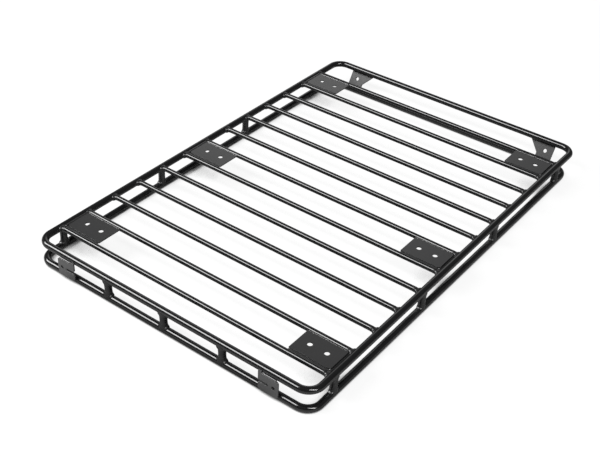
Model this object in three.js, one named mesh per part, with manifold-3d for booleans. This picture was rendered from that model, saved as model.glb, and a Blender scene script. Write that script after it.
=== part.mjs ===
// Rigid roof rack: two stacked loops of bent steel tube, joined by short posts, with a deck of
// crossbars flush with the top of the upper loop. Millimetres, +X right, +Y rear, +Z up.
// The origin is at the bottom centre of the whole rack, on the surface that it stands on.
import * as THREE from "three";
import { mergeVertices } from "three/addons/utils/BufferGeometryUtils.js";
import Module from "manifold-3d";

const wasm = await Module();
wasm.setup();

// ---- driving dimensions ----
const clearance = 0.3; // between pieces that touch on the real rack
const overcut = 5; // how far a cutter reaches past what it cuts
const railDiameter = 25.4;
const railWall = 2;
const barDiameter = 19.05;
const barWall = 1.6;
const postDiameter = 25.4;
const postWall = 2;

const loopWidth = 1144; // long rail to long rail, axis to axis
const frontMargin = 96; // front rail axis to the first crossbar axis
const barPitch = 125;
const barCount = 13;
const rearMargin = 152; // last crossbar axis to the rear rail axis
const bendRadius = 50; // at the tube axis
const loopRise = 74.5; // lower loop axis to upper loop axis
const rearSetback = 44.5; // the lower loop stops this far short of the upper one at the rear

const flareLength = 12; // how far a weld flare reaches along its own tube
const flareSpread = 9; // how far it spreads along the rail on each side
const saddleGap = 1.5; // a side post's inner ear stops this far below the crossbars' undersides

const plateBays = [1, 6, 12]; // a mounting plate at both rails behind each of these crossbars
const plateThickness = 4;
const plateRise = 5.6; // plate top above the crossbar axis
const plateReach = 171; // rail axis to the plate's inner edge
const plateCornerGap = 3; // its chamfered corners stay this far off the crossbars' flares
const plateBevel = 6.5; // its edges at the rail and at the front bar are bevelled this far back for the weld
const plateHoleDiameter = 18;
const plateHoleInset = 64; // rail axis to the outer hole
const plateHoleSpacing = 64;
const plateHoleShift = 4; // holes behind the middle of the bay

const frontPostInsets = { left: [130, 324], right: [336, 152] }; // from each long rail's axis
const frontPostMiddle = -5; // the middle one, from the middle of the rack
const leftPostPlaces = [106, 598, 1094, 1596]; // from the front rail axis, along the long rail
const rightPostPlaces = [112, 608, 1097, 1596];

const tabThickness = 5;
const tabWidth = 76;
const tabInset = 146; // long rail's axis to the middle of a tab
const tabFoot = 16; // surface below the rack to the tab's lower edge
const tabHeight = 64;
const tabHornRise = 11; // the inner corner reaches up in front of the upper rail by this much
const tabHornWidth = 13;
const tabCorner = 9;
const tabHoleDiameter = 13;
const tabHoleInset = 18.5; // outer edge to the hole's middle
const tabSlotWidth = 9;
const tabSlotDepth = 38;
const tabSlotHeight = 32; // tab's lower edge to the middle of the slot and hole
const tabLip = 6; // rounding of the slot's mouth

const bracketThickness = 8;
const bracketInset = 79; // long rail's axis to the bracket's outer edge
const bracketTopWidth = 112.5;
const bracketFootWidth = 64.5;
const bracketTopDrop = 3; // its upper edge stays this far down the slope from the upper rail's axis
const bracketFootLength = 29; // lower rail axis to where the inner edge starts to slant
const bracketHoleDiameter = 16;
const bracketHoleInset = 33.5; // outer edge to the hole's middle
const bracketHoleHeight = 45.5; // up the slope from the lower rail's axis

// ---- sizes that follow ----
const railRadius = railDiameter / 2;
const barRadius = barDiameter / 2;
const postRadius = postDiameter / 2;
const loopLength = frontMargin + (barCount - 1) * barPitch + rearMargin;
const lowerZ = railRadius;
const upperZ = lowerZ + loopRise;
const barZ = upperZ + railRadius - barRadius; // the bars' tops are level with the rails' tops
const slopeLength = Math.hypot(loopRise, rearSetback); // lower rear rail axis to upper rear rail axis
const slope = Math.atan2(loopRise, rearSetback);
// How far the tabs' faces stand before the front rail's axis, and the brackets' behind the rear one's.
const frontReach = railRadius + clearance + tabThickness;
const bracketBack = railRadius + clearance + bracketThickness; // square to the slope
const bracketReach = bracketBack * Math.sin(slope) - bracketTopDrop * Math.cos(slope);
const rearReach = Math.max(railRadius, bracketReach);
const frontY = (frontReach - rearReach - loopLength) / 2;
const rearY = frontY + loopLength;
const sideX = loopWidth / 2;
const seamY = (frontY + rearY) / 2;

const railSides = 20;
const boreSides = 8;
const barSides = 16;
const saddleSides = 12;
const bendSteps = 6;
const flareSteps = 2;

const steel = new THREE.MeshStandardMaterial({ color: 0x0b0b0c, roughness: 0.28, metalness: 0.3 });
const satinSteel = new THREE.MeshStandardMaterial({ color: 0x17181a, roughness: 0.42, metalness: 0.3 });

// ---- solids ----
function toSolid(geometry) {
  const bare = geometry.index ? geometry.toNonIndexed() : geometry.clone();
  bare.deleteAttribute("normal");
  bare.deleteAttribute("uv");
  const merged = mergeVertices(bare, 1e-4);
  return new wasm.Manifold(
    new wasm.Mesh({
      numProp: 3,
      vertProperties: new Float32Array(merged.attributes.position.array),
      triVerts: new Uint32Array(merged.index.array),
    }),
  );
}

function toGeometry(solid) {
  const mesh = solid.getMesh();
  const geometry = new THREE.BufferGeometry();
  geometry.setAttribute("position", new THREE.BufferAttribute(new Float32Array(mesh.vertProperties), 3));
  geometry.setIndex(new THREE.BufferAttribute(new Uint32Array(mesh.triVerts), 1));
  geometry.computeVertexNormals();
  return geometry;
}

function circlePoints(radius, sides) {
  return Array.from({ length: sides }, (_, i) => {
    const angle = (2 * Math.PI * i) / sides;
    return new THREE.Vector2(radius * Math.cos(angle), radius * Math.sin(angle));
  });
}

// A solid rod between two points, with a corner of its section on each world axis.
function rod(from, to, radius, sides) {
  const span = new THREE.Vector3().subVectors(to, from);
  const geometry = new THREE.CylinderGeometry(radius, radius, span.length(), sides);
  const turn = new THREE.Quaternion().setFromUnitVectors(new THREE.Vector3(0, 1, 0), span.normalize());
  geometry.applyQuaternion(turn);
  const middle = new THREE.Vector3().addVectors(from, to).multiplyScalar(0.5);
  geometry.translate(middle.x, middle.y, middle.z);
  return toSolid(geometry);
}

// The rail, with its clearance, as the tubes that are welded to it are cut to fit it.
function saddleCutter(from, to) {
  return rod(from, to, (railRadius + clearance) / Math.cos(Math.PI / saddleSides), saddleSides);
}

// ---- the bent loops ----
// A path of straight runs and round bends in a level plane, sampled only where it turns.
class BentPath extends THREE.Curve {
  constructor(corners, radius, z) {
    super();
    this.stations = [];
    const last = corners.length - 1;
    const at = (p, d) => {
      this.stations.push({ point: new THREE.Vector3(p.x, p.y, z), along: new THREE.Vector3(d.x, d.y, 0) });
    };
    corners.forEach((corner, i) => {
      const into = i > 0 ? corner.clone().sub(corners[i - 1]).normalize() : null;
      const away = i < last ? corners[i + 1].clone().sub(corner).normalize() : null;
      if (!into || !away) {
        at(corner, into ?? away);
        return;
      }
      const centre = corner.clone().addScaledVector(into, -radius).addScaledVector(away, radius);
      for (let step = 0; step <= bendSteps; step++) {
        const angle = ((step / bendSteps) * Math.PI) / 2;
        const [sine, cosine] = [Math.sin(angle), Math.cos(angle)];
        const point = centre.clone().addScaledVector(into, radius * sine).addScaledVector(away, -radius * cosine);
        at(point, into.clone().multiplyScalar(cosine).addScaledVector(away, sine));
      }
    });
  }
  get steps() {
    return this.stations.length - 1;
  }
  getPoint(t, target = new THREE.Vector3()) {
    return target.copy(this.stations[Math.round(t * this.steps)].point);
  }
  getTangent(t, target = new THREE.Vector3()) {
    return target.copy(this.stations[Math.round(t * this.steps)].along);
  }
  getPointAt(u, target) {
    return this.getPoint(u, target);
  }
  getTangentAt(u, target) {
    return this.getTangent(u, target);
  }
}

function halfLoop(startY, endY, z) {
  const corners = [
    new THREE.Vector2(-sideX, startY),
    new THREE.Vector2(-sideX, endY),
    new THREE.Vector2(sideX, endY),
    new THREE.Vector2(sideX, startY),
  ];
  const path = new BentPath(corners, bendRadius, z);
  const section = new THREE.Shape(circlePoints(railRadius, railSides));
  section.holes.push(new THREE.Path(circlePoints(railRadius - railWall, boreSides)));
  return new THREE.ExtrudeGeometry(section, { steps: path.steps, extrudePath: path, curveSegments: 1 });
}

// ---- tubes that end in weld flares ----
// The flare's share of its full spread, a given share of its length away from the rail.
function flareShare(away) {
  return 1 - Math.sqrt(1 - (1 - away) ** 2);
}

// A solid along Z from -half to half, round in the middle, that spreads near both ends by spread on
// each side in X. The flares are widest at the rails' surfaces, which lie at -surface and surface.
function flaredBody(radius, half, surface, spread, sides) {
  const levels = [[-half, 1]];
  for (let step = 0; step <= flareSteps; step++) {
    const away = step / flareSteps;
    levels.push([-surface + flareLength * away, flareShare(away)]);
  }
  for (const [z, share] of [...levels].reverse()) levels.push([-z, share]);
  const outline = circlePoints(1, sides);
  const rings = levels.map(([z, share]) =>
    outline.map((p) => new THREE.Vector3(p.x * (radius + spread * share), p.y * radius, z)),
  );
  return loft(rings);
}

// Closed solid through rings of equally many points, anticlockwise as seen from +Z, bottom first.
function loft(rings) {
  const sides = rings[0].length;
  const points = rings.flat();
  const faces = [];
  for (let ring = 0; ring < rings.length - 1; ring++) {
    for (let i = 0; i < sides; i++) {
      const a = ring * sides + i;
      const b = ring * sides + ((i + 1) % sides);
      faces.push(a, b, b + sides, a, b + sides, a + sides);
    }
  }
  const top = (rings.length - 1) * sides;
  for (let i = 1; i < sides - 1; i++) {
    faces.push(0, i + 1, i);
    faces.push(top, top + i, top + i + 1);
  }
  const geometry = new THREE.BufferGeometry().setFromPoints(points);
  geometry.setIndex(faces);
  return geometry;
}

// Crossbar: its length runs along Z here and is turned to X; the flare spreads along the rails.
function crossbarSolid() {
  const surface = sideX - railRadius;
  const body = flaredBody(barRadius, sideX, surface, flareSpread, barSides);
  // Z becomes X, the flare's X becomes Y and its Y becomes Z.
  const [ontoX, ontoY, ontoZ] = [[0, 1, 0], [0, 0, 1], [1, 0, 0]].map((axis) => new THREE.Vector3(...axis));
  body.applyMatrix4(new THREE.Matrix4().makeBasis(ontoX, ontoY, ontoZ));
  const past = sideX + overcut;
  const bore = rod(new THREE.Vector3(-past, 0, 0), new THREE.Vector3(past, 0, 0), barRadius - barWall, boreSides);
  const railDrop = upperZ - barZ;
  const reach = barRadius + flareSpread + overcut;
  let solid = toSolid(body).subtract(bore);
  for (const x of [-sideX, sideX]) {
    const [front, rear] = [-reach, reach].map((y) => new THREE.Vector3(x, y, railDrop));
    solid = solid.subtract(saddleCutter(front, rear));
  }
  return solid;
}

// Post: its length runs along Z and its flare spreads along the rail, which lies along X here. Its
// ears clasp both rails as far as their axes, or, on the +Y side, stop at innerDrop below the upper one.
function postSolid(innerDrop = 0) {
  const half = loopRise / 2;
  const past = half + overcut;
  const body = toSolid(flaredBody(postRadius, half, half - railRadius, flareSpread, barSides));
  const bore = rod(new THREE.Vector3(0, 0, -past), new THREE.Vector3(0, 0, past), postRadius - postWall, boreSides);
  const reach = postRadius + flareSpread + overcut;
  let solid = body.subtract(bore);
  for (const z of [-half, half]) {
    solid = solid.subtract(saddleCutter(new THREE.Vector3(-reach, 0, z), new THREE.Vector3(reach, 0, z)));
  }
  if (innerDrop === 0) return solid;
  const notch = wasm.Manifold.cube([2 * reach, reach, innerDrop + overcut]);
  return solid.subtract(notch.translate([-reach, 0, half - innerDrop]));
}

// ---- flat pieces ----
function extruded(outline, holes, thickness, curveSegments = 8) {
  const shape = outline.clone();
  shape.holes.push(...holes);
  const geometry = new THREE.ExtrudeGeometry(shape, { depth: thickness, bevelEnabled: false, curveSegments });
  geometry.translate(0, 0, -thickness);
  return geometry;
}

function roundHole(x, y, diameter) {
  const hole = new THREE.Path();
  hole.absarc(x, y, diameter / 2, 0, 2 * Math.PI, true);
  return hole;
}

// Mounting plate for the right side, lying between two crossbars: X from the rail axis inwards is
// negative, Y from the first bar's axis, top face at Z = 0.
function plateSolid() {
  const flareTip = -railRadius - flareLength - plateCornerGap;
  const flareSide = barRadius + flareSpread + plateCornerGap;
  const corner = [[-plateReach, 0], [flareTip, 0], [flareTip, barRadius], [-railRadius, flareSide], [0, flareSide]];
  const farCorner = corner.map(([x, y]) => [x, barPitch - y]).reverse();
  const outline = new THREE.Shape([...corner, ...farCorner].map(([x, y]) => new THREE.Vector2(x, y)));
  const holes = [0, 1].map((n) =>
    roundHole(-plateHoleInset - n * plateHoleSpacing, barPitch / 2 + plateHoleShift, plateHoleDiameter),
  );
  let solid = toSolid(extruded(outline, holes, plateThickness));
  for (const y of [0, barPitch]) {
    const [inner, outer] = [-plateReach - overcut, overcut].map((x) => new THREE.Vector3(x, y, -plateRise));
    solid = solid.subtract(rod(inner, outer, barRadius + clearance, barSides));
  }
  const railDrop = upperZ - barZ - plateRise;
  const [front, rear] = [-overcut, barPitch + overcut].map((y) => new THREE.Vector3(0, y, railDrop));
  solid = solid.subtract(rod(front, rear, railRadius + clearance, railSides));
  // Each bevel rises from where the underside meets the tube.
  const atRail = new THREE.Vector3(-plateThickness, 0, -plateBevel).normalize();
  const atBar = new THREE.Vector3(0, plateThickness, -plateBevel).normalize();
  solid = solid.trimByPlane(atRail.toArray(), -(railRadius + clearance + plateBevel) * atRail.x);
  return solid.trimByPlane(atBar.toArray(), (barRadius + clearance + plateBevel) * atBar.y);
}

// Front tab for the right side, seen from the front: X to the right from the tab's middle, Y up from
// its lower edge. Its hook slot opens inwards and its inner corner rises into a horn.
function tabGeometry() {
  const right = tabWidth / 2;
  const left = -right;
  const slotTop = tabSlotHeight + tabSlotWidth / 2;
  const slotFoot = tabSlotHeight - tabSlotWidth / 2;
  const slotEnd = left + tabSlotDepth - tabSlotWidth / 2;
  const hornTop = tabHeight + tabHornRise;
  const hornRadius = tabHornWidth / 2;
  const turn = Math.PI / 2;
  const outline = new THREE.Shape();
  outline.absarc(right - tabCorner, tabHeight - tabCorner, tabCorner, 0, turn, false);
  outline.absarc(left + tabHornWidth + tabCorner, tabHeight + tabCorner, tabCorner, -turn, -1.6 * turn, true);
  outline.absarc(left + hornRadius, hornTop - hornRadius, hornRadius, 0.4 * turn, 2 * turn, false);
  outline.absarc(left + tabLip, slotTop + tabLip, tabLip, 2 * turn, 3 * turn, false);
  outline.absarc(slotEnd, tabSlotHeight, tabSlotWidth / 2, turn, -turn, true);
  outline.absarc(left + tabLip, slotFoot - tabLip, tabLip, turn, 2 * turn, false);
  outline.absarc(left + tabCorner, tabCorner, tabCorner, 2 * turn, 3 * turn, false);
  outline.absarc(right - tabCorner, tabCorner, tabCorner, 3 * turn, 4 * turn, false);
  outline.closePath();
  return extruded(outline, [roundHole(right - tabHoleInset, tabSlotHeight, tabHoleDiameter)], tabThickness, 5);
}

// Rear bracket for the right side, lying against both rear rails from behind: X to the right from its
// outer edge, Y up the slope from the lower rail's axis, and Z = 0 at the plane of the two axes.
function bracketGeometry() {
  const top = slopeLength - bracketTopDrop;
  const corners = [
    [0, 0],
    [0, top],
    [-bracketTopWidth, top],
    [-bracketFootWidth, bracketFootLength],
    [-bracketFootWidth, 0],
  ];
  const outline = new THREE.Shape(corners.map(([x, y]) => new THREE.Vector2(x, y)));
  const hole = roundHole(-bracketHoleInset, bracketHoleHeight, bracketHoleDiameter);
  const geometry = extruded(outline, [hole], bracketThickness);
  geometry.translate(0, 0, -railRadius - clearance);
  return geometry;
}

// ---- the assembly ----
const rack = new THREE.Group();

function place(name, geometry, material, position, turn = [0, 0, 0]) {
  const mesh = new THREE.Mesh(geometry, material);
  mesh.name = name;
  mesh.position.set(...position);
  mesh.rotation.set(...turn);
  rack.add(mesh);
  return mesh;
}

// The mirror image in X of a geometry, with its faces turned back outwards.
function mirrored(geometry) {
  const flat = geometry.index ? geometry.toNonIndexed() : geometry.clone();
  flat.scale(-1, 1, 1);
  const p = flat.attributes.position;
  for (let i = 0; i < p.count; i += 3) {
    const [x, y, z] = [p.getX(i + 1), p.getY(i + 1), p.getZ(i + 1)];
    p.setXYZ(i + 1, p.getX(i + 2), p.getY(i + 2), p.getZ(i + 2));
    p.setXYZ(i + 2, x, y, z);
  }
  flat.computeVertexNormals();
  return flat;
}

const lowerRearY = rearY - rearSetback;
place("upper_loop_front", halfLoop(seamY - clearance / 2, frontY, upperZ), steel, [0, 0, 0]);
place("upper_loop_rear", halfLoop(seamY + clearance / 2, rearY, upperZ), steel, [0, 0, 0]);
place("lower_loop_front", halfLoop(seamY - clearance / 2, frontY, lowerZ), steel, [0, 0, 0]);
place("lower_loop_rear", halfLoop(seamY + clearance / 2, lowerRearY, lowerZ), steel, [0, 0, 0]);

const crossbar = toGeometry(crossbarSolid());
const barY = (n) => frontY + frontMargin + (n - 1) * barPitch;
for (let n = 1; n <= barCount; n++) {
  place(`crossbar_${String(n).padStart(2, "0")}`, crossbar, steel, [0, barY(n), barZ]);
}

const frontPost = toGeometry(postSolid());
const sidePost = toGeometry(postSolid(barDiameter - railRadius + saddleGap));
const postZ = (lowerZ + upperZ) / 2;
const frontPostPlaces = [
  ...frontPostInsets.left.map((inset) => inset - sideX),
  frontPostMiddle,
  ...frontPostInsets.right.map((inset) => sideX - inset),
];
frontPostPlaces.forEach((x, i) => place(`post_front_${i + 1}`, frontPost, steel, [x, frontY, postZ]));
for (const [side, sign, places] of [["left", -1, leftPostPlaces], ["right", 1, rightPostPlaces]]) {
  const turn = [0, 0, (sign * Math.PI) / 2];
  places.forEach((y, i) => place(`post_${side}_${i + 1}`, sidePost, steel, [sign * sideX, frontY + y, postZ], turn));
}

const rightPlate = toGeometry(plateSolid());
const leftPlate = mirrored(rightPlate);
const bayNames = ["front", "middle", "rear"];
plateBays.forEach((bay, i) => {
  place(`deck_plate_${bayNames[i]}_left`, leftPlate, satinSteel, [-sideX, barY(bay), barZ + plateRise]);
  place(`deck_plate_${bayNames[i]}_right`, rightPlate, satinSteel, [sideX, barY(bay), barZ + plateRise]);
});

// The tab's Y is turned up and its thickness lies in front of the rails.
const rightTab = tabGeometry();
const tabX = sideX - tabInset;
const tabY = frontY - railRadius - clearance - tabThickness;
place("front_tab_left", mirrored(rightTab), satinSteel, [-tabX, tabY, tabFoot], [Math.PI / 2, 0, 0]);
place("front_tab_right", rightTab, satinSteel, [tabX, tabY, tabFoot], [Math.PI / 2, 0, 0]);

// The bracket's Y is turned up the slope between the two rear rails.
const rightBracket = bracketGeometry();
const bracketX = sideX - bracketInset;
place("rear_bracket_left", mirrored(rightBracket), satinSteel, [-bracketX, lowerRearY, lowerZ], [slope, 0, 0]);
place("rear_bracket_right", rightBracket, satinSteel, [bracketX, lowerRearY, lowerZ], [slope, 0, 0]);

export default rack;
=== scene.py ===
import math
import bpy
from mathutils import Matrix, Vector


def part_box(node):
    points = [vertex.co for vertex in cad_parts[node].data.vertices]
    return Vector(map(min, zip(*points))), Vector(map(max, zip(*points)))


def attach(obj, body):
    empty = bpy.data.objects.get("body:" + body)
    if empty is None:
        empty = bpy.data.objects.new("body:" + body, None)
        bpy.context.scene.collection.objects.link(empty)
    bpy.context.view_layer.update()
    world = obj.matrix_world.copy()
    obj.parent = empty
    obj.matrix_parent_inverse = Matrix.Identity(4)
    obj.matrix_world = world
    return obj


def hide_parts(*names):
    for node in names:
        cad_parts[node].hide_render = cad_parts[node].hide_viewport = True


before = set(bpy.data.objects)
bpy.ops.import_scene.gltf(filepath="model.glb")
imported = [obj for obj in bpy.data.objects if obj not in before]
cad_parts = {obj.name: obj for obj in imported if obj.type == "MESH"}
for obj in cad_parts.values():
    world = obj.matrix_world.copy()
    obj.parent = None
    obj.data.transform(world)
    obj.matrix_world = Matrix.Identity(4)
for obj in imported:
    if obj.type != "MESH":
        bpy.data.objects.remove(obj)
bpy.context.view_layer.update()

scene = bpy.context.scene
scene.view_settings.view_transform = "Standard"
mm = 0.001
xAxis, yAxis, zAxis = Vector((1, 0, 0)), Vector((0, 1, 0)), Vector((0, 0, 1))


def boxOf(*nodes):
    corners = [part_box(n) for n in nodes]
    low = Vector([min(c[0][i] for c in corners) for i in range(3)])
    high = Vector([max(c[1][i] for c in corners) for i in range(3)])
    return low, high


def middleOf(node):
    low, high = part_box(node)
    return (low + high) / 2


# The two loops give the rails' radius, their axes and their heights.
upperLow, upperHigh = boxOf("upper_loop_front", "upper_loop_rear")
lowerLow, lowerHigh = boxOf("lower_loop_front", "lower_loop_rear")
railRadius = (upperHigh.z - upperLow.z) / 2
railX = upperHigh.x - railRadius  # axis of the right long rail; the left one mirrors it
frontY = upperLow.y + railRadius
upperZ = upperHigh.z - railRadius
lowerZ = lowerHigh.z - railRadius
barPitch = 125 * mm  # from one crossbar's axis to the next
sameSpot, sameVertex = 1e-5, 1e-6  # metres within which two points count as one
fineness = {"hole": 40, "corner": 7, "edge": 2}  # sides of a hole, steps round a corner and over an edge
flatAngle, tubeAngle, beadAngle = 20, 50, 80  # degrees; edges sharper than this stay sharp
edgeAngle = 40  # degrees; sharper edges than this are rounded
print("frame read:", len(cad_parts), "nodes")


# Back to object mode, with nothing selected; edit mode will pick vertices.
def clearSelection():
    if bpy.context.mode != "OBJECT":
        bpy.ops.object.mode_set(mode="OBJECT")
    bpy.ops.object.select_all(action="DESELECT")
    bpy.context.tool_settings.mesh_select_mode = (True, False, False)


def makeActive(piece):
    clearSelection()
    piece.select_set(True)
    bpy.context.view_layer.objects.active = piece


# Names the primitive that was just added, and puts its place into its mesh.
def startPiece(name):
    piece = bpy.context.object
    piece.name = piece.data.name = name
    makeActive(piece)
    bpy.ops.object.transform_apply(location=True, rotation=True, scale=True)
    return piece


# Selects vertices, edges or faces whose middle passes the test, and stays in edit mode.
def pick(piece, kind, test):
    makeActive(piece)
    mesh = piece.data
    groups = {"VERT": mesh.vertices, "EDGE": mesh.edges, "FACE": mesh.polygons}
    for group in groups.values():
        group.foreach_set("select", [False] * len(group))
    for part in groups[kind]:
        if kind == "VERT":
            place = part.co
        elif kind == "EDGE":
            place = (mesh.vertices[part.vertices[0]].co + mesh.vertices[part.vertices[1]].co) / 2
        else:
            place = part.center
        part.select = test(place, part)
    bpy.context.tool_settings.mesh_select_mode = [k == kind for k in groups]
    bpy.ops.object.mode_set(mode="EDIT")


# A ring of edges to draw a tube from, left selected in edit mode. It faces along the given axis.
def startRing(name, radius, sides, place=(0, 0, 0), facing=zAxis):
    clearSelection()
    turn = facing.to_track_quat("Z", "Y").to_euler()
    bpy.ops.mesh.primitive_circle_add(vertices=sides, radius=radius, location=place, rotation=turn)
    piece = startPiece(name)
    bpy.ops.object.mode_set(mode="EDIT")
    bpy.ops.mesh.select_all(action="SELECT")
    return piece


# Extrudes what is selected, and resizes the new ring about a point.
def drawOut(move, size=(1, 1, 1), about=(0, 0, 0)):
    bpy.ops.mesh.extrude_region_move(TRANSFORM_OT_translate={"value": move})
    bpy.ops.transform.resize(value=size, center_override=about)


def addModifier(piece, kind, **values):
    makeActive(piece)
    step = piece.modifiers.new(kind.lower(), kind)
    for key, value in values.items():
        setattr(step, key, value)
    bpy.ops.object.modifier_apply(modifier=step.name)


def cutWith(piece, cutter):
    addModifier(piece, "BOOLEAN", operation="DIFFERENCE", solver="EXACT", object=cutter)
    bpy.data.objects.remove(cutter)


def joinPieces(piece, *others):
    makeActive(piece)
    for other in others:
        other.select_set(True)
    bpy.ops.object.join()
    return piece


# A flat face with rounded corners, drawn corner by corner: each is across, up and the rounding.
def drawOutline(name, corners):
    clearSelection()
    bpy.ops.mesh.primitive_plane_add(size=mm)
    piece = startPiece(name)
    bpy.ops.object.mode_set(mode="EDIT")
    bpy.ops.mesh.select_all(action="SELECT")
    bpy.ops.mesh.merge(type="CENTER")
    bpy.ops.transform.translate(value=(corners[0][0], corners[0][1], 0))
    for (x, y, _), (nextX, nextY, _) in zip(corners, corners[1:]):
        bpy.ops.mesh.extrude_region_move(TRANSFORM_OT_translate={"value": (nextX - x, nextY - y, 0)})
    bpy.ops.mesh.select_all(action="SELECT")
    bpy.ops.mesh.edge_face_add()
    bpy.ops.object.mode_set(mode="OBJECT")
    for x, y, rounding in corners:
        if rounding > 0:
            pick(piece, "VERT", lambda place, _: (place - Vector((x, y, 0))).length < sameSpot)
            bpy.ops.mesh.bevel(offset=rounding, segments=fineness["corner"], affect="VERTICES")
            bpy.ops.object.mode_set(mode="OBJECT")
    return piece


# Extrudes a flat face downwards and turns its normals out.
def thicken(piece, depth):
    makeActive(piece)
    bpy.ops.object.mode_set(mode="EDIT")
    bpy.ops.mesh.select_all(action="SELECT")
    bpy.ops.mesh.extrude_region_move(TRANSFORM_OT_translate={"value": (0, 0, -depth)})
    bpy.ops.mesh.select_all(action="SELECT")
    bpy.ops.mesh.normals_make_consistent(inside=False)
    bpy.ops.object.mode_set(mode="OBJECT")


# A round hole through a sheet whose top is at height 0; the cutter stands well out of both faces.
def drill(piece, x, y, diameter, depth):
    clearSelection()
    shape = {"vertices": fineness["hole"], "radius": diameter / 2, "depth": 4 * depth}
    bpy.ops.mesh.primitive_cylinder_add(location=(x, y, -depth / 2), **shape)
    cutWith(piece, bpy.context.object)


def roundEdges(piece, width):
    limit = {"limit_method": "ANGLE", "angle_limit": math.radians(edgeAngle)}
    addModifier(piece, "BEVEL", width=width, segments=fineness["edge"], **limit)


# Turns and moves a finished form, and puts its place into its mesh.
def setDown(piece, place, turn=(0, 0, 0)):
    piece.location = place
    piece.rotation_euler = turn
    makeActive(piece)
    bpy.ops.object.transform_apply(location=True, rotation=True, scale=True)


# A weld bead along X or Y with rippled rings: half sizes across and up, and where it starts and ends.
def makeBead(name, start, end, across, up, s):
    along = (end - start).normalized()
    side = zAxis.cross(along)
    bead = startRing(name, mm, s["sides"], start, along)
    span = (end - start).length
    steps = max(2, round(span / s["pitch"]))
    stretch = Vector([abs(v) * across / mm if abs(v) > 0.5 else 1 for v in side])
    stretch.z = up / mm
    bpy.ops.transform.resize(value=s["taper"] * stretch, center_override=start)
    bpy.ops.mesh.edge_face_add()
    swell = (1 / s["taper"], 1 - s["ripple"], 1 / (1 - s["ripple"]))
    for step in range(steps):
        change = swell[0] if step == 0 else swell[1] if step % 2 else swell[2]
        spot = start + along * span * (step + 1) / (steps + 1)
        size = Vector([1 if abs(v) > 0.5 else change for v in along])
        drawOut(along * span / (steps + 1), size, spot)
    size = Vector([1 if abs(v) > 0.5 else s["taper"] for v in along])
    drawOut(along * span / (steps + 1), size, end)
    bpy.ops.mesh.edge_face_add()
    bpy.ops.mesh.select_all(action="SELECT")
    bpy.ops.transform.vertex_random(offset=s["rough"], seed=s["seed"])
    bpy.ops.object.mode_set(mode="OBJECT")
    smooth(bead, beadAngle)
    return bead


# A copy with a mesh of its own, moved, turned about Z and mirrored in X, with its place in the mesh.
def copyPiece(piece, name, place=(0, 0, 0), turn=0, mirror=False):
    makeActive(piece)
    bpy.ops.object.duplicate(linked=False)
    twin = bpy.context.object
    twin.name = twin.data.name = name
    twin.scale.x = -1 if mirror else 1
    twin.rotation_euler.z = turn
    twin.location = place
    bpy.ops.object.transform_apply(location=True, rotation=True, scale=True)
    return twin


# How far round its quarter circle a flare has swung out, from 0 at its start to 1 at the rail.
def flareShare(away):
    return 1 - math.sqrt(1 - (1 - away) ** 2)


def smooth(piece, angle):
    makeActive(piece)
    bpy.ops.object.shade_smooth_by_angle(angle=math.radians(angle))


# Closes and coats a piece; the faces that pass the weld test get the weld's coat.
def finishPiece(piece, nodes, material, weldCoat=None, weldTest=None):
    makeActive(piece)
    bpy.ops.object.mode_set(mode="EDIT")
    bpy.ops.mesh.select_all(action="SELECT")
    bpy.ops.mesh.remove_doubles(threshold=sameVertex)
    bpy.ops.mesh.normals_make_consistent(inside=False)
    bpy.ops.object.mode_set(mode="OBJECT")
    piece.data.materials.clear()
    piece.data.materials.append(material)
    if weldCoat:
        piece.data.materials.append(weldCoat)
        pick(piece, "FACE", weldTest)
        piece.active_material_index = 1
        bpy.ops.object.material_slot_assign()
        bpy.ops.object.mode_set(mode="OBJECT")
    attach(piece, "root")
    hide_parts(*nodes)


camera = {
    "place": (1.7497, -2.6470, 2.2244),
    "azimuth": 35.186,  # degrees round from straight in front, towards the right
    "elevation": 36.068,
    "roll": -3.063,
    "lens": 62.54,
    "sensor": 36,
    "reach": 100,  # metres
}


def makeCamera(s):
    azimuth, elevation, roll = (math.radians(s[k]) for k in ("azimuth", "elevation", "roll"))
    level = math.cos(elevation)
    back = Vector((math.sin(azimuth) * level, -math.cos(azimuth) * level, math.sin(elevation)))
    right = (-back).cross(zAxis).normalized()
    up = back.cross(right)
    rightTurned = right * math.cos(roll) - up * math.sin(roll)
    upTurned = right * math.sin(roll) + up * math.cos(roll)
    data = bpy.data.cameras.new("camera")
    data.lens, data.sensor_width, data.clip_end = s["lens"], s["sensor"], s["reach"]
    eye = bpy.data.objects.new("camera", data)
    turn = Matrix((rightTurned, upTurned, back)).transposed().to_4x4()
    eye.matrix_world = Matrix.Translation(s["place"]) @ turn
    scene.collection.objects.link(eye)
    scene.camera = eye


makeCamera(camera)
print("camera placed")

# Each lamp shines at the origin.
keyLight = {"toward": (-0.593, -0.449, 0.668), "distance": 9.5, "width": 7.6, "height": 3.8, "power": 1010}
topLight = {"toward": (0.69, -0.33, 0.644), "distance": 9.5, "width": 6.5, "height": 1.4, "power": 450}
studio = {
    "windowToward": (-0.532, 0.76, 0.375),  # a pale window, left and behind, seen only in reflections
    "windowGlow": 0.78,
    "windowEdge": (0.94, 0.99),  # cosines where its glow starts and where it is full
    "low": 0.1,  # what reflections see of the room, below and above the ceiling's edge
    "ceiling": 0.11,
    "ceilingEdge": (0.6, 0.8),
    "roomLight": 0.32,  # what the room gives to diffuse light
    "floorColour": 0.15,  # for the camera, which also sees the glow below
    "floorOpen": (0.2, 0.52),  # how open the floor is where its glow is least and where it is greatest; the dimmed glow near the rack is painted shadow
    "openGlow": (0.02, 0.86),
    "floorReach": 0.14,  # metres within which the rack shades the floor
    "floorMirrored": (0.15, 0.4),  # for every other ray, under the rack and around it; the darker value under it is painted shade
    "shadeMiddle": (0, -0.12, 0),  # the darker part under the rack: painted shade
    "shadeReach": (0.44, 0.81, 0),
    "shadeEdge": (-0.05, 0.05),
    "floorSize": 40,
}


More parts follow.
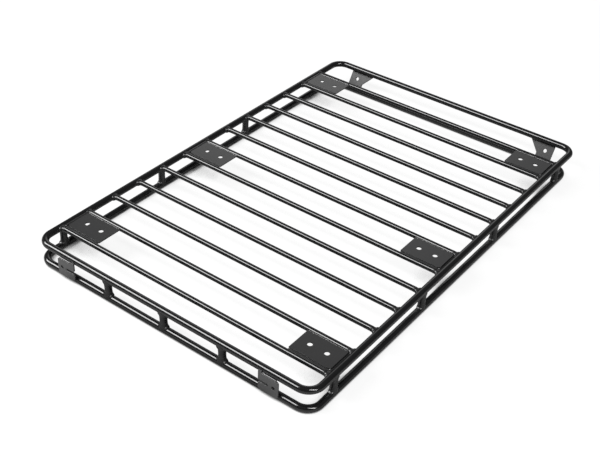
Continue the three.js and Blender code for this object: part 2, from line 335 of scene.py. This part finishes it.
def makeSoftbox(name, s):
    toward = Vector(s["toward"]).normalized()
    data = bpy.data.lights.new(name, "AREA")
    data.shape = "RECTANGLE"
    data.size, data.size_y = s["width"], s["height"]
    data.energy = s["power"]
    light = bpy.data.objects.new(name, data)
    along = (xAxis - toward * toward.x).normalized()
    frameOf = Matrix((along, toward.cross(along), toward)).transposed().to_4x4()
    light.matrix_world = Matrix.Translation(toward * s["distance"]) @ frameOf
    scene.collection.objects.link(light)


def makeWorld(s):
    world = bpy.data.worlds.new("studio")
    scene.world = world
    world.use_nodes = True
    tree = world.node_tree
    tree.nodes.clear()
    new, link = tree.nodes.new, tree.links.new
    out = new("ShaderNodeOutputWorld")
    direction = new("ShaderNodeTexCoord")
    aim = new("ShaderNodeVectorMath")
    aim.operation = "DOT_PRODUCT"
    aim.inputs[1].default_value = Vector(s["windowToward"]).normalized()
    window = new("ShaderNodeMapRange")
    window.interpolation_type = "SMOOTHSTEP"
    window.inputs["From Min"].default_value, window.inputs["From Max"].default_value = s["windowEdge"]
    window.inputs["To Max"].default_value = s["windowGlow"]
    height = new("ShaderNodeSeparateXYZ")
    ceiling = new("ShaderNodeMapRange")
    ceiling.interpolation_type = "SMOOTHSTEP"
    ceiling.inputs["From Min"].default_value, ceiling.inputs["From Max"].default_value = s["ceilingEdge"]
    ceiling.inputs["To Min"].default_value, ceiling.inputs["To Max"].default_value = s["low"], s["ceiling"]
    glow = new("ShaderNodeBackground")
    white = new("ShaderNodeBackground")
    white.inputs["Color"].default_value = (1, 1, 1, 1)
    path = new("ShaderNodeLightPath")
    room = new("ShaderNodeMix")
    room.inputs["A"].default_value = s["roomLight"]
    either = new("ShaderNodeMixShader")
    link(direction.outputs["Generated"], aim.inputs[0])
    link(aim.outputs["Value"], window.inputs["Value"])
    link(direction.outputs["Generated"], height.inputs[0])
    link(height.outputs["Z"], ceiling.inputs["Value"])
    link(ceiling.outputs["Result"], window.inputs["To Min"])
    link(path.outputs["Is Glossy Ray"], room.inputs["Factor"])
    link(window.outputs["Result"], room.inputs["B"])
    link(room.outputs["Result"], glow.inputs["Strength"])
    glow.inputs["Color"].default_value = (1, 1, 1, 1)
    link(path.outputs["Is Camera Ray"], either.inputs[0])
    link(glow.outputs[0], either.inputs[1])
    link(white.outputs[0], either.inputs[2])
    link(either.outputs[0], out.inputs["Surface"])


def makeFloor(s):
    clearSelection()
    bpy.ops.mesh.primitive_plane_add(size=s["floorSize"], location=(0, 0, 0))
    floor = startPiece("floor")
    paint = bpy.data.materials.new("floor_white")
    paint.use_nodes = True
    tree = paint.node_tree
    tree.nodes.clear()
    new, link = tree.nodes.new, tree.links.new
    out = new("ShaderNodeOutputMaterial")
    paper = new("ShaderNodeBsdfDiffuse")
    # Rays other than the camera's see the floor darker in a box under the rack: painted shade.
    spot = new("ShaderNodeTexCoord")
    moved, folded, past = (new("ShaderNodeVectorMath") for _ in range(3))
    moved.operation, folded.operation, past.operation = "SUBTRACT", "ABSOLUTE", "SUBTRACT"
    moved.inputs[1].default_value, past.inputs[1].default_value = s["shadeMiddle"], s["shadeReach"]
    parts = new("ShaderNodeSeparateXYZ")
    outside = new("ShaderNodeMath")
    outside.operation = "MAXIMUM"
    shade = new("ShaderNodeMapRange")
    shade.interpolation_type = "SMOOTHSTEP"
    shade.inputs["From Min"].default_value, shade.inputs["From Max"].default_value = s["shadeEdge"]
    shade.inputs["To Min"].default_value, shade.inputs["To Max"].default_value = s["floorMirrored"]
    white = new("ShaderNodeMix")
    white.data_type = "RGBA"
    white.inputs["B"].default_value = (s["floorColour"],) * 3 + (1,)
    link(spot.outputs["Object"], moved.inputs[0])
    link(moved.outputs[0], folded.inputs[0])
    link(folded.outputs[0], past.inputs[0])
    link(past.outputs[0], parts.inputs[0])
    link(parts.outputs["X"], outside.inputs[0])
    link(parts.outputs["Y"], outside.inputs[1])
    link(outside.outputs[0], shade.inputs["Value"])
    link(shade.outputs["Result"], white.inputs["A"])
    glow = new("ShaderNodeEmission")
    glow.inputs["Color"].default_value = (1, 1, 1, 1)
    path = new("ShaderNodeLightPath")
    # The camera's glow is dimmed where an occlusion test finds the rack close: painted contact shadow on
    # the floor.
    sky = new("ShaderNodeAmbientOcclusion")
    sky.inputs["Distance"].default_value = s["floorReach"]
    lit = new("ShaderNodeMapRange")
    lit.interpolation_type = "SMOOTHSTEP"
    lit.inputs["From Min"].default_value, lit.inputs["From Max"].default_value = s["floorOpen"]
    lit.inputs["To Min"].default_value, lit.inputs["To Max"].default_value = s["openGlow"]
    seen = new("ShaderNodeMath")
    seen.operation = "MULTIPLY"
    both = new("ShaderNodeAddShader")
    link(path.outputs["Is Camera Ray"], white.inputs["Factor"])
    link(white.outputs["Result"], paper.inputs["Color"])
    link(sky.outputs["AO"], lit.inputs["Value"])
    link(path.outputs["Is Camera Ray"], seen.inputs[0])
    link(lit.outputs["Result"], seen.inputs[1])
    link(seen.outputs[0], glow.inputs["Strength"])
    link(paper.outputs[0], both.inputs[0])
    link(glow.outputs[0], both.inputs[1])
    link(both.outputs[0], out.inputs["Surface"])
    floor.data.materials.append(paint)


makeSoftbox("key_light", keyLight)
makeSoftbox("top_light", topLight)
makeWorld(studio)
makeFloor(studio)
print("studio lit")

powder = {
    "peel": (700, 2),  # each noise has a scale and a detail
    "wave": (90, 1),
    "patch": (14, 3),
    "speck": (2600, 1),
    "peelDepth": 0.0002,
    "waveDepth": 0.001,
    "grain": (0.35, 0.7),  # speck values between which the deep colour turns pale
}


# Sprayed powder: fine orange peel, a slow wave in the film, and patches a little duller or glossier.
def makePeelGroup(s):
    group = bpy.data.node_groups.new("powderPeel", "ShaderNodeTree")
    face = group.interface
    for name in ("Peel", "Wave", "Roughness", "Patchy"):
        face.new_socket(name, in_out="INPUT", socket_type="NodeSocketFloat")
    for name in ("Deep", "Pale"):
        face.new_socket(name, in_out="INPUT", socket_type="NodeSocketColor")
    face.new_socket("Color", in_out="OUTPUT", socket_type="NodeSocketColor")
    face.new_socket("Roughness", in_out="OUTPUT", socket_type="NodeSocketFloat")
    face.new_socket("Normal", in_out="OUTPUT", socket_type="NodeSocketVector")
    new, link = group.nodes.new, group.links.new
    given, out = new("NodeGroupInput"), new("NodeGroupOutput")
    place = new("ShaderNodeTexCoord")

    def noise(scale, detail):
        node = new("ShaderNodeTexNoise")
        node.inputs["Scale"].default_value = scale
        node.inputs["Detail"].default_value = detail
        link(place.outputs["Object"], node.inputs["Vector"])
        return node.outputs["Fac"]

    peel, wave, patch, speck = (noise(*s[k]) for k in ("peel", "wave", "patch", "speck"))
    finer = new("ShaderNodeBump")
    finer.inputs["Distance"].default_value = s["peelDepth"]
    slower = new("ShaderNodeBump")
    slower.inputs["Distance"].default_value = s["waveDepth"]
    link(given.outputs["Wave"], slower.inputs["Strength"])
    link(wave, slower.inputs["Height"])
    link(given.outputs["Peel"], finer.inputs["Strength"])
    link(peel, finer.inputs["Height"])
    link(slower.outputs["Normal"], finer.inputs["Normal"])
    link(finer.outputs["Normal"], out.inputs["Normal"])
    centred = new("ShaderNodeMath")  # about zero, so that the coat is as rough as asked on average
    centred.operation = "SUBTRACT"
    centred.inputs[1].default_value = 0.5
    duller = new("ShaderNodeMath")
    duller.operation = "MULTIPLY_ADD"
    link(patch, centred.inputs[0])
    link(centred.outputs[0], duller.inputs[0])
    link(given.outputs["Patchy"], duller.inputs[1])
    link(given.outputs["Roughness"], duller.inputs[2])
    link(duller.outputs[0], out.inputs["Roughness"])
    grain = new("ShaderNodeMapRange")
    grain.inputs["From Min"].default_value, grain.inputs["From Max"].default_value = s["grain"]
    shade = new("ShaderNodeMix")
    shade.data_type = "RGBA"
    link(speck, grain.inputs["Value"])
    link(grain.outputs["Result"], shade.inputs["Factor"])
    link(given.outputs["Deep"], shade.inputs["A"])
    link(given.outputs["Pale"], shade.inputs["B"])
    link(shade.outputs["Result"], out.inputs["Color"])
    return group


def makeCoating(name, group, s):
    coat = bpy.data.materials.new(name)
    coat.use_nodes = True
    tree = coat.node_tree
    skin = tree.nodes["Principled BSDF"]
    film = tree.nodes.new("ShaderNodeGroup")
    film.node_tree = group
    for key in ("Peel", "Wave", "Roughness", "Patchy"):
        film.inputs[key].default_value = s[key.lower()]
    film.inputs["Deep"].default_value = (*s["deep"], 1)
    film.inputs["Pale"].default_value = (*s["pale"], 1)
    skin.inputs["IOR"].default_value = s["ior"]
    skin.inputs["Specular IOR Level"].default_value = s["shine"]
    tree.links.new(film.outputs["Color"], skin.inputs["Base Color"])
    tree.links.new(film.outputs["Roughness"], skin.inputs["Roughness"])
    tree.links.new(film.outputs["Normal"], skin.inputs["Normal"])
    return coat


powderPeel = makePeelGroup(powder)
glossCoat = {
    "ior": 1.65,
    "shine": 0.5,
    "roughness": 0.14,
    "patchy": 0.06,
    "peel": 0.06,
    "wave": 0.02,
    "deep": (0.0035, 0.0035, 0.0038),
    "pale": (0.007, 0.007, 0.0074),
}
satinCoat = {
    "ior": 1.8,
    "shine": 0.8,
    "roughness": 0.32,
    "patchy": 0.08,
    "peel": 0.12,
    "wave": 0.02,
    "deep": (0.004, 0.004, 0.0043),
    "pale": (0.009, 0.009, 0.0094),
}
weldCoat = {**glossCoat, "roughness": 0.34, "peel": 0.1, "wave": 0.4}
slopeCoat = {**satinCoat, "shine": 0.45, "roughness": 0.42, "peel": 0.05}
# The tabs' coat is the satin powder with a paler base colour: painted sheen, lightening their fronts as
# reflected light would.
tabCoatPaintedSheen = {
    **satinCoat,
    "shine": 1.0,
    "roughness": 0.42,
    "deep": (0.014, 0.014, 0.0145),
    "pale": (0.022, 0.022, 0.0225),
}
glossBlack = makeCoating("powder_gloss", powderPeel, glossCoat)
satinBlack = makeCoating("powder_satin", powderPeel, satinCoat)
weldBlack = makeCoating("powder_on_weld", powderPeel, weldCoat)
slopeBlack = makeCoating("powder_satin_slope", powderPeel, slopeCoat)
tabBlackPaintedSheen = makeCoating("powder_satin_tab_painted_sheen", powderPeel, tabCoatPaintedSheen)
print("coatings mixed")

loopTube = {"sides": 48, "bendSteps": 20, "bend": 50 * mm}


# One tube drawn round the rack: a straight run, then a spin, four times.
def makeLoop(name, nodes, low, high, s):
    z = (low.z + high.z) / 2
    bend = s["bend"]
    left, right = low.x + railRadius + bend, high.x - railRadius - bend
    front, rear = low.y + railRadius + bend, high.y - railRadius - bend
    loop = startRing(name, railRadius, s["sides"], (right + bend, front, z), yAxis)
    runs = (
        ((0, rear - front, 0), (right, rear, z)),
        ((left - right, 0, 0), (left, rear, z)),
        ((0, front - rear, 0), (left, front, z)),
        ((right - left, 0, 0), (right, front, z)),
    )
    for move, centre in runs:
        drawOut(move)
        bpy.ops.mesh.spin(steps=s["bendSteps"], angle=-math.pi / 2, center=centre, axis=zAxis)
    smooth(loop, tubeAngle)
    finishPiece(loop, nodes, glossBlack)


makeLoop("upper_loop", ("upper_loop_front", "upper_loop_rear"), upperLow, upperHigh, loopTube)
makeLoop("lower_loop", ("lower_loop_front", "lower_loop_rear"), lowerLow, lowerHigh, loopTube)
print("loops bent")

crossbar = {
    "sides": 40,
    "flare": 9 * mm,  # how far the weld spreads along the rail on each side
    "flareLength": 12 * mm,
    "underFlare": 2 * mm,
    "lip": 0.45 * mm,  # raised edge of the weld on the bar
    # rings of the lip: how far before the flare, and shares of the lip across and up
    "lipRings": ((4.5 * mm, 0, 0), (3.2 * mm, 0.3, 0.2), (2 * mm, 1, 0.7), (0.6 * mm, 0.9, 0.6)),
    "dips": (0.1, 0.3, 0.4, 0.35, 0.1, 0, -0.2, -0.3),  # mm that its top falls at each ring of the flare
    # rings inside the rail: from the rail's axis, wider, taller, and how far the top falls
    "innerRings": (
        (9.6 * mm, 8 * mm, 1.6 * mm, -0.3 * mm),
        (6.8 * mm, 5 * mm, 0.8 * mm, 0.05 * mm),
        (4.4 * mm, 1 * mm, 0, 0.6 * mm),
        (2.8 * mm, -4 * mm, -4 * mm, 2 * mm),
    ),
    "weldReach": 4 * mm,  # the weld's coat starts this far before the flare
}


# Half a bar is drawn from its middle to inside the rail, and mirrored. A ring is resized about its top.
def makeCrossbar(name, s):
    low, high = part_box("crossbar_01")
    radius = (high.z - low.z) / 2
    bar = startRing(name, radius, s["sides"], (0, 0, 0), xAxis)
    state = {"x": 0, "width": radius, "height": radius, "top": radius}

    def ringAt(fromAxis, width, height, drop=0):
        x = railX - fromAxis
        size = (1, width / state["width"], height / state["height"])
        drawOut((x - state["x"], 0, 0), size, (x, 0, state["top"]))
        bpy.ops.transform.translate(value=(0, 0, -drop))
        state.update(x=x, width=width, height=height, top=state["top"] - drop)

    start = railRadius + s["flareLength"]
    for before, across, up in s["lipRings"]:
        ringAt(start + before, radius + across * s["lip"], radius + up * s["lip"])
    for step, dip in enumerate(s["dips"], 1):
        away = 1 - step / len(s["dips"])
        share = flareShare(away)
        width, height = radius + s["flare"] * share, radius + s["underFlare"] * share
        ringAt(railRadius + s["flareLength"] * away, width, height, dip * mm)
    for fromAxis, wider, taller, drop in s["innerRings"]:
        ringAt(fromAxis, radius + wider, radius + taller, drop)
    bpy.ops.mesh.edge_face_add()
    addModifier(bar, "MIRROR", use_axis=(True, False, False), merge_threshold=sameSpot)
    smooth(bar, tubeAngle)
    return bar


barNodes = sorted(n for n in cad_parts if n.startswith("crossbar_"))
firstBar = makeCrossbar("bar", crossbar)
weldStart = railX - railRadius - crossbar["flareLength"] - crossbar["weldReach"]


def isBarWeld(place, _):
    return abs(place.x) > weldStart


for node in barNodes:
    tube = copyPiece(firstBar, node + "_tube", middleOf(node))
    finishPiece(tube, (node,), glossBlack, weldBlack, isBarWeld)
bpy.data.objects.remove(firstBar)
print("crossbars set:", len(barNodes))

post = {
    "radius": 12.7 * mm,
    "sides": 40,
    "flare": 9 * mm,
    "flareLength": 12 * mm,
    "flareSteps": 7,
    "lip": 0.5 * mm,
    "earRise": 1.4 * mm,  # how far a front post's ears stand proud of the rails
    "notchDrop": 7.9 * mm,  # a side post's inner ear stops this far below the upper rail's axis
    "notchCutter": 40 * mm,
    "lipRings": ((3.4 * mm, 0), (2.2 * mm, 0.6), (0.8 * mm, 1)),  # before the flare, and share of the lip
    # rings over the rail's sides, in mm: below the rail's axis and wider, and a share of the ears' rise
    "earRings": ((10, 8, 1), (6.5, 5.5, 1), (3, 2, 1), (0.5, -2.5, 0.9), (-2, -7.5, 0.4)),
    "earTip": (-3 * mm, -9.5 * mm, -1.5 * mm),  # the last ring, with its depth as a length too
    "weldReach": 3 * mm,  # the weld's coat starts this far before the flare
}


# Upper half of a post, drawn up from its middle and over the rail's sides, and mirrored downwards.
def makePost(name, s, lip, rise):
    radius = s["radius"]
    half = (upperZ - lowerZ) / 2
    piece = startRing(name, radius, s["sides"], (0, 0, 0), zAxis)
    state = {"z": 0, "width": radius, "depth": radius}

    def ringAt(belowAxis, width, depth):
        z = half - belowAxis
        size = (width / state["width"], depth / state["depth"], 1)
        drawOut((0, 0, z - state["z"]), size, (0, 0, z))
        state.update(z=z, width=width, depth=depth)

    start = railRadius + s["flareLength"]
    for before, share in s["lipRings"]:
        ringAt(start + before, radius + share * s["lip"], radius + share * lip)
    for step in range(1, s["flareSteps"] + 1):
        away = 1 - step / s["flareSteps"]
        depth = radius + lip + (rise - lip) * (1 - away)
        ringAt(railRadius + s["flareLength"] * away, radius + s["flare"] * flareShare(away), depth)
    for belowAxis, wider, deeper in s["earRings"]:
        ringAt(belowAxis * mm, radius + wider * mm, radius + deeper * rise)
    belowAxis, wider, deeper = s["earTip"]
    ringAt(belowAxis, radius + wider, radius + deeper)
    bpy.ops.mesh.edge_face_add()
    addModifier(piece, "MIRROR", use_axis=(False, False, True), merge_threshold=sameSpot)
    return piece


postNodes = sorted(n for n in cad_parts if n.startswith("post_"))
frontPost = makePost("front_post", post, post["lip"], post["earRise"])
sidePost = makePost("side_post", post, 0, 0)
clearSelection()
notchZ = (upperZ - lowerZ) / 2 - post["notchDrop"]
size = post["notchCutter"]
bpy.ops.mesh.primitive_cube_add(size=size, location=(0, size / 2, notchZ + size / 2))
cutter = bpy.context.object
cutter.scale.x = 2  # past both sides of the flared ear
cutWith(sidePost, cutter)
smooth(frontPost, tubeAngle)
smooth(sidePost, tubeAngle)
middleZ = (upperZ + lowerZ) / 2
barePart = middleZ - lowerZ - railRadius - post["flareLength"] - post["weldReach"]


def isPostWeld(place, _):
    return abs(place.z - middleZ) > barePart


for node in postNodes:
    x, y = middleOf(node).xy
    if "front" in node:
        tube = copyPiece(frontPost, node + "_tube", (x, frontY, middleZ))
    else:
        sign = math.copysign(1, x)
        tube = copyPiece(sidePost, node + "_tube", (sign * railX, y, middleZ), sign * math.pi / 2)
    finishPiece(tube, (node,), glossBlack, weldBlack, isPostWeld)
bpy.data.objects.remove(frontPost)
bpy.data.objects.remove(sidePost)
print("posts set:", len(postNodes))

deckPlate = {
    "railGap": 4.6 * mm,  # the welds take up this much of the plate's box along the rail and the near bar
    "barGap": 6.4 * mm,
    "chamferAlong": 8 * mm,
    "chamferAcross": 6 * mm,
    "innerRounding": 0.8 * mm,
    "outerRounding": 1.5 * mm,
    "holes": 2,
    "holeDiameter": 18 * mm,
    "holeInset": 64 * mm,  # rail axis to the outer hole
    "holeSpacing": 64 * mm,
    "holeShift": 4 * mm,  # behind the middle of the bay
    "edge": 0.45 * mm,
}
bead = {
    "sides": 16,
    "pitch": 3.4 * mm,
    "taper": 0.35,  # its ends, as a share of its middle
    "rough": 0.22 * mm,
    "seed": 3,
    "seedsPerPlate": 5,
}


# The bare plate of the right front bay.
def makePlate(name, node, bar, s):
    low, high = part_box(node)
    barY = middleOf(bar).y
    thickness = high.z - low.z
    wide, tight = s["outerRounding"], s["innerRounding"]
    near, outer = low.y + s["barGap"], high.x - s["railGap"]
    corners = [
        (low.x, near, tight),
        (outer - s["chamferAlong"], near, wide),
        (outer, near + s["chamferAcross"], wide),
        (outer, high.y - s["chamferAcross"], wide),
        (outer - s["chamferAlong"], high.y, wide),
        (low.x, high.y, tight),
    ]
    plate = drawOutline(name, corners)
    thicken(plate, thickness)
    for n in range(s["holes"]):
        x = railX - s["holeInset"] - n * s["holeSpacing"]
        drill(plate, x, barY + barPitch / 2 + s["holeShift"], s["holeDiameter"], thickness)
    roundEdges(plate, s["edge"])
    setDown(plate, (0, 0, high.z))
    smooth(plate, flatAngle)
    return plate


# Every weld is drawn anew. Its middle is "across" from the axis of the bar or rail, and "drop" below the
# plate's face. Its two "ends" are measured outwards from the plate's inner and outer edges or, on a rail
# weld, rearwards from the near bar's axis and the plate's far edge.
plateWelds = {
    "near": {
        "across": 12.4 * mm,
        "size": (5.2 * mm, 2.1 * mm),
        "drop": 3.6 * mm,
        "ripple": 0.1,
        "ends": (2 * mm, 1 * mm),
    },
    "far": {
        "across": 9.8 * mm,
        "size": (2.4 * mm, 1.1 * mm),
        "drop": 0.5 * mm,
        "ripple": 0.04,
        "ends": (1 * mm, -3 * mm),
    },
    "far_rear": {
        "across": 7.6 * mm,
        "size": (5 * mm, 3 * mm),
        "drop": 0.2 * mm,
        "ripple": 0.12,
        "ends": (1 * mm, -3 * mm),
    },
    "rail_right": {
        "across": 15.5 * mm,
        "size": (6 * mm, 3 * mm),
        "drop": 7.3 * mm,
        "ripple": 0.1,
        "ends": (11 * mm, 1 * mm),
    },
    "rail_left": {
        "across": 11.5 * mm,
        "size": (5 * mm, 2 * mm),
        "drop": 1.3 * mm,
        "ripple": 0.06,
        "ends": (11 * mm, 1 * mm),
    },
}


def makeWelds(bay, side, s, seed):
    low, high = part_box(f"deck_plate_{bay}_{side}")
    barY = middleOf(bays[bay]).y
    sign = -1 if side == "left" else 1
    inner, outer = sorted((abs(low.x), abs(high.x)))
    outer -= deckPlate["railGap"]

    def weld(kind, fromX, fromY, toX, toY, number):
        w = s[kind]
        z = high.z - w["drop"]
        ends = Vector((sign * fromX, fromY, z)), Vector((sign * toX, toY, z))
        look = {**bead, "ripple": w["ripple"], "seed": seed + number}
        return makeBead(f"{kind}_bead", *ends, *w["size"], look)

    farKind = "far_rear" if bay == "rear" else "far"
    railWeld = "rail_" + side
    near, far, rail = s["near"], s[farKind], s[railWeld]
    nearY = barY + near["across"]
    farY = barY + barPitch - far["across"]
    railSide = railX - rail["across"]
    return (
        weld("near", inner + near["ends"][0], nearY, outer + near["ends"][1], nearY, 0),
        weld(farKind, inner + far["ends"][0], farY, outer + far["ends"][1], farY, 1),
        weld(railWeld, railSide, barY + rail["ends"][0], railSide, high.y + rail["ends"][1], 2),
    )


bays = {"front": "crossbar_01", "middle": "crossbar_06", "rear": "crossbar_12"}
firstPlate = makePlate("plate", "deck_plate_front_right", bays["front"], deckPlate)
firstBarY = middleOf(bays["front"]).y
for seed, node in enumerate(sorted(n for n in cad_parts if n.startswith("deck_plate_"))):
    bay, side = node.split("_")[2:]
    place = (0, middleOf(bays[bay]).y - firstBarY, 0)
    twin = copyPiece(firstPlate, node + "_steel", place, mirror=side == "left")
    joinPieces(twin, *makeWelds(bay, side, plateWelds, bead["seedsPerPlate"] * seed))
    finishPiece(twin, (node,), satinBlack)
bpy.data.objects.remove(firstPlate)
print("deck plates set")

frontTab = {
    # mm across from its middle, up from its lower edge, and the rounding
    "corners": (
        (38, 0, 9), (38, 64, 9), (-23.5, 64, 7), (-27.5, 75, 5), (-38, 75, 5.5), (-38, 36.5, 6),
        (0, 36.5, 4.4), (0, 27.5, 4.4), (-38, 27.5, 6), (-38, 0, 9),
    ),
    "hole": (19.5 * mm, 32 * mm, 13 * mm),  # across, up and its diameter
    "weldSpan": (-20 * mm, 31 * mm),
    "weldRise": 65 * mm,  # above its lower edge
    "weldBack": 3.4 * mm,  # behind its front face
    "weldSize": (2.8 * mm, 3.2 * mm),
    "weldRipple": 0.15,
    "edge": 0.5 * mm,
}


def makeTab(name, node, s):
    low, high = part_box(node)
    thickness = high.y - low.y
    tab = drawOutline(name, [[v * mm for v in corner] for corner in s["corners"]])
    thicken(tab, thickness)
    drill(tab, *s["hole"], thickness)
    roundEdges(tab, s["edge"])
    middle = (low.x + high.x) / 2
    setDown(tab, (middle, low.y, low.z), (math.pi / 2, 0, 0))
    smooth(tab, flatAngle)
    ends = [Vector((middle + x, low.y + s["weldBack"], low.z + s["weldRise"])) for x in s["weldSpan"]]
    look = {**bead, "ripple": s["weldRipple"]}
    return joinPieces(tab, makeBead("tab_bead", *ends, *s["weldSize"], look))


firstTab = makeTab("tab", "front_tab_right", frontTab)
for side in ("left", "right"):
    node = "front_tab_" + side
    twin = copyPiece(firstTab, node + "_steel", mirror=side == "left")
    finishPiece(twin, (node,), tabBlackPaintedSheen)
bpy.data.objects.remove(firstTab)
print("tabs set")

rearBracket = {
    "thickness": 8 * mm,
    "inset": 79 * mm,  # rail axis to its outer edge
    "gap": 0.3 * mm,  # between its face and the rails
    # mm across from its outer edge, up the slope from the lower rail's axis, and the rounding
    "corners": ((0, 0, 1.5), (0, 83.8, 1.5), (-112.5, 83.8, 1.5), (-64.5, 29, 3), (-64.5, 0, 1.5)),
    "hole": (-33.5 * mm, 45.5 * mm, 16 * mm),  # across, up the slope and its diameter
    "edge": 0.6 * mm,
}


def makeBracket(name, s):
    rise, setback = upperZ - lowerZ, upperHigh.y - lowerHigh.y
    bracket = drawOutline(name, [[v * mm for v in corner] for corner in s["corners"]])
    thicken(bracket, s["thickness"])
    drill(bracket, *s["hole"], s["thickness"])
    roundEdges(bracket, s["edge"])
    setDown(bracket, (0, 0, -railRadius - s["gap"]))
    slope = math.atan2(rise, setback)
    setDown(bracket, (railX - s["inset"], lowerHigh.y - railRadius, lowerZ), (slope, 0, 0))
    smooth(bracket, flatAngle)
    return bracket


firstBracket = makeBracket("bracket", rearBracket)
for side in ("left", "right"):
    node = "rear_bracket_" + side
    twin = copyPiece(firstBracket, node + "_steel", mirror=side == "left")
    finishPiece(twin, (node,), slopeBlack)
bpy.data.objects.remove(firstBracket)
print("brackets set")
